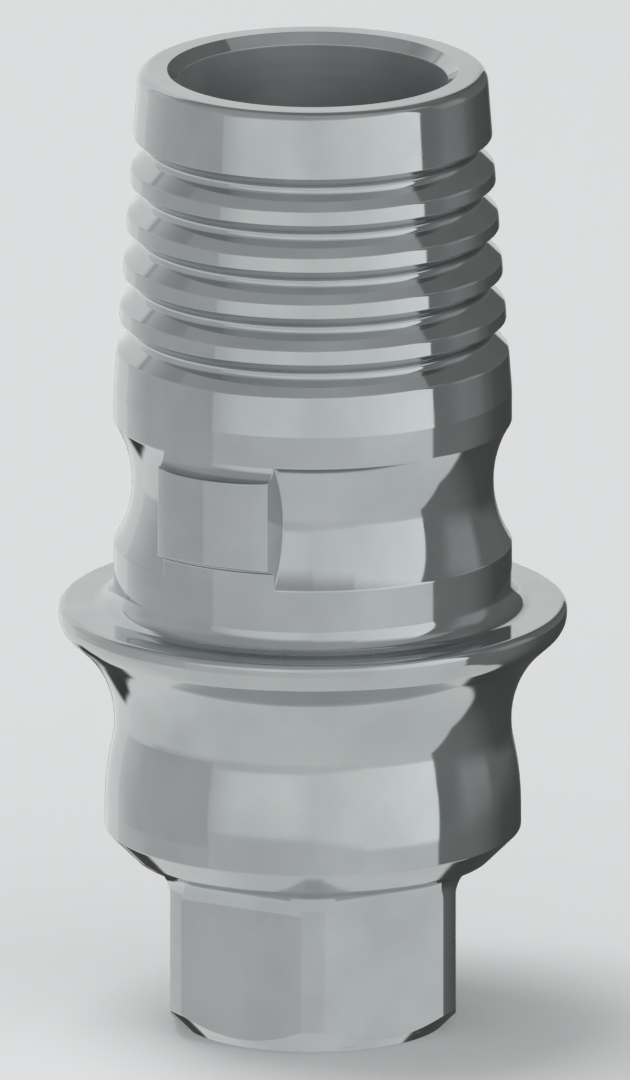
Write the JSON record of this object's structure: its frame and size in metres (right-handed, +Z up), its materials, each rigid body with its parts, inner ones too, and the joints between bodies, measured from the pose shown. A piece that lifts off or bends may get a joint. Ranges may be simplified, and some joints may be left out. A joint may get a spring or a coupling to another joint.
{
  "type": "dental abutment",
  "caption": "Turned titanium base with a hexagonal foot, a conical seat, a flared collar and a hollow grooved chimney that carries a crown over an implant.",
  "frame": {"origin": "centre of the foot's lower face, on the axis of the screw channel", "axes": "+Z up along the screw channel, from the hexagonal foot to the chimney's open top; two hexagon corners lie on the Y axis; the anti-rotation key points 30 degrees from -Y towards -X"},
  "size_m": [0.0042, 0.0042, 0.0083],
  "materials": {
    "titanium": "fine turned titanium grade 5, clean and bright"
  },
  "bodies": {
    "root": {"titanium_base": "titanium"}
  },
  "joints": []
}
